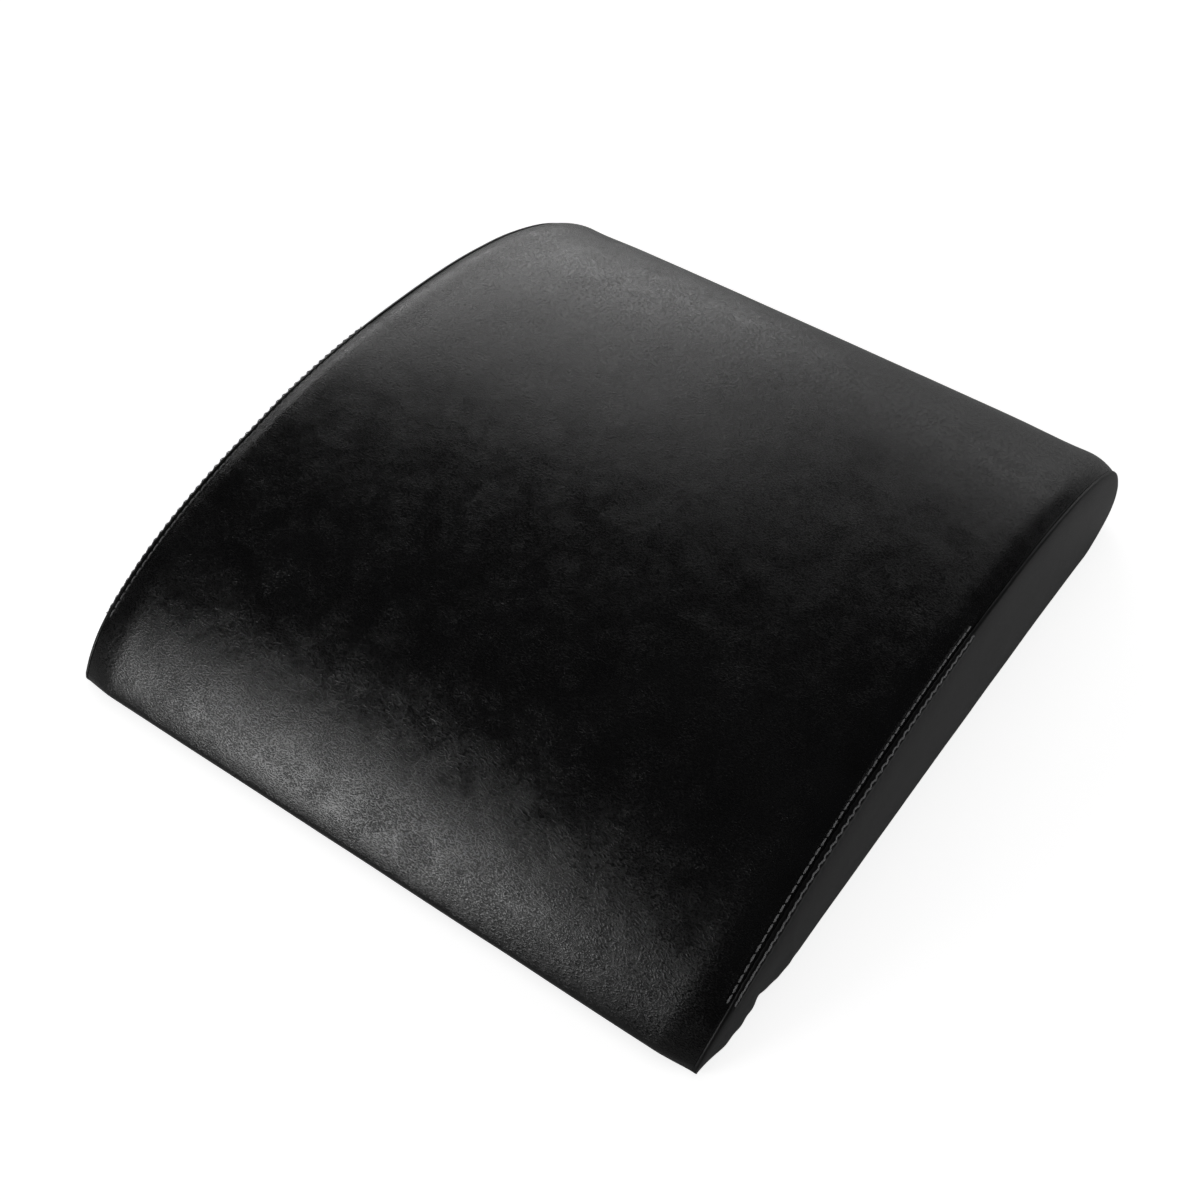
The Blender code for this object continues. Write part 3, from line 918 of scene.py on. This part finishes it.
class Look(Nodes):
    """One procedural material."""

    def __init__(self, name, colour, roughness):
        self.material = bpy.data.materials.new(name)
        self.material.use_nodes = True
        super().__init__(self.material.node_tree)
        self.shader = self.tree.nodes["Principled BSDF"]
        self.place = self.coordinates["Object"]
        self.feed(self.shader, Base_Color=(*colour, 1.0), Roughness=roughness)

    def noise(self, size, detail=2.0, roughness=0.5, place=None, output="Fac"):
        """Noise whose features are about one size across."""
        made = self.node("ShaderNodeTexNoise")
        place = place or self.place
        return self.feed(made, Scale=1 / size, Detail=detail, Roughness=roughness, Vector=place)[output]

    def warped(self, size, amount):
        """A place pushed about by noise, so that what is drawn on it wanders."""
        noise = self.noise(size, 1.0, output="Color")
        centred = self.pair("ShaderNodeVectorMath", "SUBTRACT", noise, (0.5, 0.5, 0.5))
        scale = self.node("ShaderNodeVectorMath", operation="SCALE")
        scaled = self.feed(scale, Vector=centred, Scale=amount)[0]
        return self.pair("ShaderNodeVectorMath", "ADD", self.place, scaled)

    def cells(self, size, place):
        """Distance to the edges of cells of about one size."""
        made = self.node("ShaderNodeTexVoronoi", feature="DISTANCE_TO_EDGE")
        return self.feed(made, Scale=1 / size, Vector=place)["Distance"]

    def tint(self, share, first, second):
        """Set the base colour between two colours by a share."""
        self.feed(self.shader, Base_Color=self.blend(share, (*first, 1.0), (*second, 1.0), "RGBA"))

    def bump(self, *layers):
        """Bumps of (height, depth in metres), one upon the other."""
        below = {}
        for height, depth in layers:
            made = self.node("ShaderNodeBump")
            normal = self.feed(made, Distance=depth, Strength=1.0, Height=height, **below)[0]
            below = {"Normal": normal}
        self.feed(self.shader, **below)

    def finished(self, **inputs):
        """The material, with its last inputs filled."""
        self.feed(self.shader, **inputs)
        return self.material


def leather(name, colour, wear_and_painted_ridge_sheen, roughness, grain_depth=0.00011, swing=0.22):
    """Grained faux leather: short soft wrinkles whose direction drifts over the sheet, with its grain
    ridges painted paler than its valleys.
    """
    look = Look(name, colour, roughness)
    wander = look.warped(*wrinkle_wander)
    streaks = []
    for turn, stretch in wrinkle_ways:
        turned = look.node("ShaderNodeMapping")
        turned = look.feed(turned, Scale=(stretch, 1, 1), Rotation=(0, 0, turn), Vector=wander)[0]
        streaks.append(look.ramp(look.noise(wrinkle_size, 1.0, place=turned), 0.26, 0.74, smooth=False))
    first = look.blend(look.ramp(look.noise(way_patch, 1.0), 0.40, 0.60), streaks[0], streaks[1])
    mixed = look.blend(look.ramp(look.noise(drift_patch, 1.0), 0.52, 0.66), first, streaks[2])
    pebbles = look.ramp(look.cells(pebble_size, look.warped(*pebble_wander)), 0.02, 0.40)
    grains = look.blend(mixed, look.product(pebbles, pebble_share), 1.0)
    height = look.product(grains, look.ramp(look.noise(depth_patch), 0.30, 0.70, 0.7, 1.0))
    look.bump((height, grain_depth), (look.noise(pore_size, 2.0, 0.6), pore_depth))
    mottle = look.noise(mottle_size, 4.0, 0.6)
    # Base colour runs from the first colour in the grain's valleys to the second on its ridges, eased
    # at random by the mottle. This is painted shade in the valleys and a painted sparkle on the ridges,
    # with some random tone.
    look.tint(look.blend(look.ramp(mottle, 0.3, 0.7, 0.25, 0.75), height, 1.0), colour, wear_and_painted_ridge_sheen)
    ups = look.ramp(grains, 0.0, 1.0, roughness + swing, roughness - swing, smooth=False)
    patches = look.ramp(mottle, 0.3, 0.75, -gloss_mottle, gloss_mottle)
    return look.finished(Roughness=look.pair("ShaderNodeMath", "ADD", ups, patches))


def thread_look():
    """Bonded thread with a faint sheen."""
    look = Look("bonded_thread", (0.16, 0.16, 0.163), 0.32)
    look.bump((look.noise(0.00012, 2.0, 0.6), 0.00003))
    look.tint(look.noise(0.004), (0.135, 0.135, 0.138), (0.19, 0.19, 0.193))
    return look.finished(Sheen_Weight=cloth_sheen)


def weave_look():
    """Plain weave, for the zip's tapes."""
    dark, pale = (0.012, 0.012, 0.013), (0.022, 0.022, 0.023)
    look = Look("zip_tape_weave", dark, 0.82)
    threads = []
    for axis in ("X", "Z"):
        made = look.node("ShaderNodeTexWave", bands_direction=axis)
        made = look.feed(made, Scale=0.5 / weave_pitch / math.pi, Distortion=0.4, Vector=look.place)
        threads.append(made["Fac"])
    woven = look.product(*threads)
    look.bump((woven, 0.00012), (look.noise(0.0002), 0.00003))
    look.tint(woven, dark, pale)
    uneven_gloss = look.ramp(look.noise(0.002), 0.3, 0.7, 0.74, 0.9)
    return look.finished(Roughness=uneven_gloss, Sheen_Weight=cloth_sheen)


def nylon_look():
    look = Look("zip_nylon", (0.018, 0.018, 0.019), 0.34)
    look.bump((look.noise(0.0004, 3.0), 0.00002))
    look.tint(look.noise(0.006, 3.0), (0.014, 0.014, 0.015), (0.024, 0.024, 0.025))
    return look.finished(Roughness=look.ramp(look.noise(0.003), 0.3, 0.7, 0.28, 0.42))


def lacquer_look():
    """Black lacquer over zinc, rubbed through along the edges."""
    black = (0.03, 0.03, 0.032)
    look = Look("zip_lacquer", black, 0.32)
    edges = look.node("ShaderNodeNewGeometry").outputs["Pointiness"]
    scratch = look.noise(0.0015, 5.0, 0.7)
    wear_and_painted_ridge_sheen = look.product(look.ramp(edges, 0.58, 0.70), look.ramp(scratch, 0.45, 0.62))
    look.tint(wear_and_painted_ridge_sheen, black, (0.30, 0.30, 0.31))
    look.bump((look.noise(0.0008, 3.0), 0.00003))
    return look.finished(Metallic=wear_and_painted_ridge_sheen, Roughness=look.ramp(scratch, 0.3, 0.7, 0.26, 0.40))


def foam_look():
    """Moulded foam with a closed, slightly dimpled skin."""
    look = Look("moulded_foam", (0.62, 0.60, 0.52), 0.92)
    cells = look.cells(0.0011, look.warped(0.004, 0.0008))
    look.bump((look.ramp(cells, 0.0, 0.3), 0.00022), (look.noise(0.02, 3.0), 0.0005))
    look.tint(look.noise(0.03, 4.0), (0.58, 0.55, 0.46), (0.66, 0.64, 0.57))
    return look.finished(Roughness=look.ramp(look.noise(0.01), 0.3, 0.7, 0.86, 0.97))


def dress(made, look, replaces, body="pad"):
    """Give a piece its material and its body, and hide the node that it stands for."""
    made.data.materials.clear()
    made.data.materials.append(look)
    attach(made, body)
    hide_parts(replaces)


profile = Profile()
# Each leather's second colour is the paler tone painted on its grain ridges as sparkle. Its first
# colour is the darker tone, painted as shade in the valleys.
top_leather = leather("top_leather", (0.0020, 0.0020, 0.0021), (0.0065, 0.0065, 0.0068), 0.285)
side_leather = leather("side_leather", (0.0038, 0.0038, 0.004), (0.0055, 0.0055, 0.0057), 0.42,
                       grain_depth=0.00004, swing=0.07)
base_leather = leather("base_leather", (0.009, 0.009, 0.0095), (0.013, 0.013, 0.0135), 0.55)
thread = thread_look()
tape = weave_look()
nylon = nylon_look()
lacquer = lacquer_look()
foam = foam_look()
field = swelling(profile)


def settle(points, seed):
    """The swelling of the cover and its slight unevenness, laid on a grid of points."""
    if field is not None:
        points = apply_swelling(points, field)
    return uneven(points, seed)


def build_top():
    sheet = Sheet(profile.top, False, top_stitch_seed)
    sheet.points = settle(sheet.points, top_lie_seed)
    made = mesh_object("top_cover", sheet.points.reshape(-1, 3), sheet.faces())
    thicken(made)
    dress(made, top_leather, "top_panel")
    return sheet


def build_base():
    sheet = Sheet(profile.base, True)
    made = mesh_object("base_cover", sheet.points.reshape(-1, 3), sheet.faces())
    thicken(made)
    dress(made, base_leather, "base_panel")
    return sheet


def build_gussets():
    """The two side panels, by name."""
    found = {}
    for name, hand in sides.items():
        seed = gusset_seeds[name]
        side = Gusset(profile, hand, seed)
        side.points = settle(side.points, seed + gusset_lie_step)
        inwards = np.array((-hand * sheet_thickness, 0, 0))
        made = plate(name + "_side_cover", side.points, inwards, side.faces())
        dress(made, side_leather, name + "_gusset")
        found[name] = side
    return found


def build_seam_stitches(sheet, gussets):
    """A row of stitches on each side of both seams, between the two ends of the topstitching."""
    distances = sheet.points[:, len(sheet.x) // 2, 1] + mat_length / 2
    near = np.abs(sheet.off - stitch_from_seam).argmin()
    for name, hand in sides.items():
        column = near if hand < 0 else len(sheet.x) - 1 - near
        side = gussets[name]
        row = np.abs(side.depths - stitch_from_seam).argmin()
        for place, line, up, reach in (
                ("inner", sheet.points[:, column], grid_normals(sheet.points)[:, column], distances),
                ("outer", side.points[row], grid_normals(side.points)[row] * hand, side.upper[:, 0])):
            inside = (reach > stitch_front_end) & (reach < stitch_rear_end)
            sew(name + "_topstitch_" + place, name + "_seam_thread_" + place, line[inside], up[inside])


def build_foam():
    """The foam core, with a channel behind the zip."""
    inset = sheet_thickness + touch_gap + foam_slack
    path = profile.around
    insets = np.full(len(path), inset)
    upright = (path[:, 1] < rear_face_top) & (path[:, 1] > rear_face_bottom)
    on_face = upright & (path[:, 0] > mat_length - face_reach)
    insets[on_face] = channel_inset
    keep = np.unique(np.r_[0:len(path):foam_row_step, len(path) - 1, np.flatnonzero(on_face)])
    columns = columns_across(sheet_edge - inset, foam_edge_columns, foam_columns)
    made = closed_core("foam_body", path[keep], insets[keep], columns)
    dress(made, foam, "foam_core")


def on_zip(along, down, out):
    """Points on the zip's own axes: along it, down the rear face and out of the face."""
    along, down, out = np.broadcast_arrays(along, down, out)
    spots = profile.face_middle + down[..., None] * profile.down + out[..., None] * profile.out
    return placed(along, spots)


def build_coils():
    """Each half of the zip as one nylon wire wound into loops, its heads reaching for the middle."""
    turns = int(2 * zip_half_length / coil_pitch)
    t = np.linspace(0, turns, turns * coil_turn_points + 1)
    turn = 2 * math.pi * t
    half_width = (coil_inner + coil_width - coil_head) / 2 - coil_wire
    half_height = coil_height / 2 - coil_wire
    swing = np.sign(np.cos(turn)) * np.abs(np.cos(turn)) ** coil_squareness
    out = coil_base + coil_height / 2 + half_height * np.sin(turn)
    for name, hand in halves.items():
        down = hand * (coil_head + coil_wire + half_width - half_width * swing)
        along = -zip_half_length + coil_wire * 2 + t * (2 * zip_half_length - 4 * coil_wire) / turns
        along += coil_skew * coil_pitch * np.cos(turn) + hand * coil_pitch / 4
        spots, faces = tube(on_zip(along, down, out), coil_wire)
        made = mesh_object("zip_coil_" + name + "_turns", spots, faces)
        dress(made, nylon, "zip_coil_" + name)


def build_tapes():
    """Woven tapes, with a slight wave along them."""
    half = zip_half_length + tape_overrun
    edge = np.linalg.norm(profile.face_bottom - profile.face_top) / 2 - touch_gap
    along = np.linspace(-half, half, tape_columns)
    for name, hand in halves.items():
        down = np.linspace(coil_inner, edge, tape_rows) * hand
        grid = on_zip(along[None, :], down[:, None], -tape_depth)
        lift = tape_wave * waves(grid.reshape(-1, 3), tape_wave_length, tape_seed + hand)
        lift = np.minimum(lift, 0).reshape(*grid.shape[:2], 1)
        grid = grid + lift * np.array((0, *profile.out))
        faces = grid_faces(*grid.shape[:2])[:, ::-hand]
        made = mesh_object("zip_tape_" + name + "_weave", grid.reshape(-1, 3), faces)
        thicken(made, tape_thickness)
        dress(made, tape, "zip_tape_" + name)


def rounded_copy(name, node, radius):
    """A node's mesh with rounded edges."""
    made = linked(name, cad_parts[node].data.copy())
    work = bmesh.new()
    work.from_mesh(made.data)
    bmesh.ops.remove_doubles(work, verts=work.verts, dist=weld_gap)
    bmesh.ops.dissolve_limit(work, angle_limit=flat_angle, verts=work.verts, edges=work.edges)
    work.to_mesh(made.data)
    work.free()
    made.data.shade_smooth()
    change = made.modifiers.new("Edges", "BEVEL")
    change.width = radius
    change.segments = edge_segments
    change.limit_method = "ANGLE"
    change.angle_limit = edge_angle
    change.harden_normals = True
    return made


def build_zip_metal():
    for node, body, radius in (("zip_slider", "slider", slider_edge), ("zip_pull", "pull", pull_edge),
                               ("zip_top_stop_upper", "pad", stop_edge),
                               ("zip_top_stop_lower", "pad", stop_edge),
                               ("zip_bottom_stop", "pad", stop_edge)):
        made = rounded_copy(node + "_lacquered", node, radius)
        dress(made, lacquer, node, body)


def build_end_tabs():
    for name in sides:
        made = rounded_copy("end_tab_" + name, "zip_end_tab_" + name, end_tab_edge)
        dress(made, side_leather, "zip_end_tab_" + name)


def build_hem_stitches(sheets):
    for (name, hand), sheet in zip(halves.items(), sheets):
        spot = profile.on_face(hand * (slot_half_width + stitch_from_hem))
        row = np.linalg.norm(sheet.path - spot, axis=1).argmin()
        inside = np.abs(sheet.points[row, :, 0]) < hem_thread_end
        line = sheet.points[row, inside]
        sew("hem_stitches_" + name, "hem_thread_" + name, line, grid_normals(sheet.points)[row, inside])


build_foam()
top_sheet = build_top()
base_sheet = build_base()
build_seam_stitches(top_sheet, build_gussets())
build_hem_stitches((top_sheet, base_sheet))
build_coils()
build_tapes()
build_zip_metal()
build_end_tabs()


def build_camera():
    a, e = camera_azimuth, camera_elevation
    back = Vector((math.sin(a) * math.cos(e), -math.cos(a) * math.cos(e), math.sin(e)))
    right = Vector((math.cos(a), math.sin(a), 0))
    up = back.cross(right)
    across = math.cos(camera_roll) * right + math.sin(camera_roll) * up
    upright = -math.sin(camera_roll) * right + math.cos(camera_roll) * up
    data = bpy.data.cameras.new("camera")
    data.sensor_width = sensor_width
    data.lens = focal_pixels * sensor_width / frame_pixels
    data.clip_start, data.clip_end = camera_clip
    made = linked("camera", data)
    spot = camera_target - camera_shift[0] * across - camera_shift[1] * upright + camera_distance * back
    turn = Matrix((across, upright, back)).transposed().to_4x4()
    made.matrix_world = Matrix.Translation(spot) @ turn
    bpy.context.scene.camera = made


def softbox(name, azimuth, elevation, distance, size, radiance, glossy=True):
    """An area lamp of one radiance, facing the pad from a compass direction (0 is +Y, clockwise)."""
    a, e = math.radians(azimuth), math.radians(elevation)
    way = Vector((math.sin(a) * math.cos(e), math.cos(a) * math.cos(e), math.sin(e)))
    data = bpy.data.lights.new(name, "AREA")
    data.shape = "RECTANGLE"
    data.size, data.size_y = size
    data.energy = radiance * math.pi * size[0] * size[1]
    made = linked(name, data)
    made.location = lamp_target + way * distance
    made.rotation_euler = way.to_track_quat("Z", "Y").to_euler()
    made.visible_glossy = glossy


def build_lights():
    softbox("front_softbox", -156, 18.2, 1.2, (0.40, 0.45), 7.2)
    softbox("rear_softbox", -42, 29, 1.6, (1.0, 0.80), 1.6)
    softbox("rear_low_strip", -44, 5.5, 2.0, (2.0, 0.22), 4.0)
    softbox("rear_wall", 2, 18, 2.0, (1.2, 1.0), 0.7)
    softbox("overhead_fill", 0, 88, 1.6, (1.6, 1.6), 1.0, glossy=False)
    softbox("right_fill", 74, 6, 1.4, (0.9, 0.26), 12.0, glossy=False)


def build_world():
    """White for the camera, and almost dark, a little paler low down, for all other rays."""
    world = bpy.data.worlds.new("studio")
    bpy.context.scene.world = world
    world.use_nodes = True
    nodes = Nodes(world.node_tree)
    split = nodes.feed(nodes.node("ShaderNodeSeparateXYZ"), Vector=nodes.coordinates["Generated"])
    dim = nodes.ramp(split["Z"], 0.0, world_wall_height, world_low_strength, world_high_strength)
    back = world.node_tree.nodes["Background"]
    nodes.feed(back, Color=(1, 1, 1, 1), Strength=nodes.if_seen(dim, 1.0))


def build_floor():
    """A pale floor that glows for the camera, so that it is white but for the pad's shadow."""
    bpy.ops.mesh.primitive_plane_add(size=floor_size, location=(0, 0, -floor_drop))
    floor = bpy.context.active_object
    floor.name = "floor"
    look = Look("pale_floor", floor_colour, floor_roughness)
    glow = look.if_seen(0.0, floor_glow)
    made = look.finished(Specular_IOR_Level=0.0, Emission_Color=(1, 1, 1, 1), Emission_Strength=glow)
    floor.data.materials.append(made)


build_camera()
build_lights()
build_world()
build_floor()
bpy.context.scene.view_settings.view_transform = "Standard"
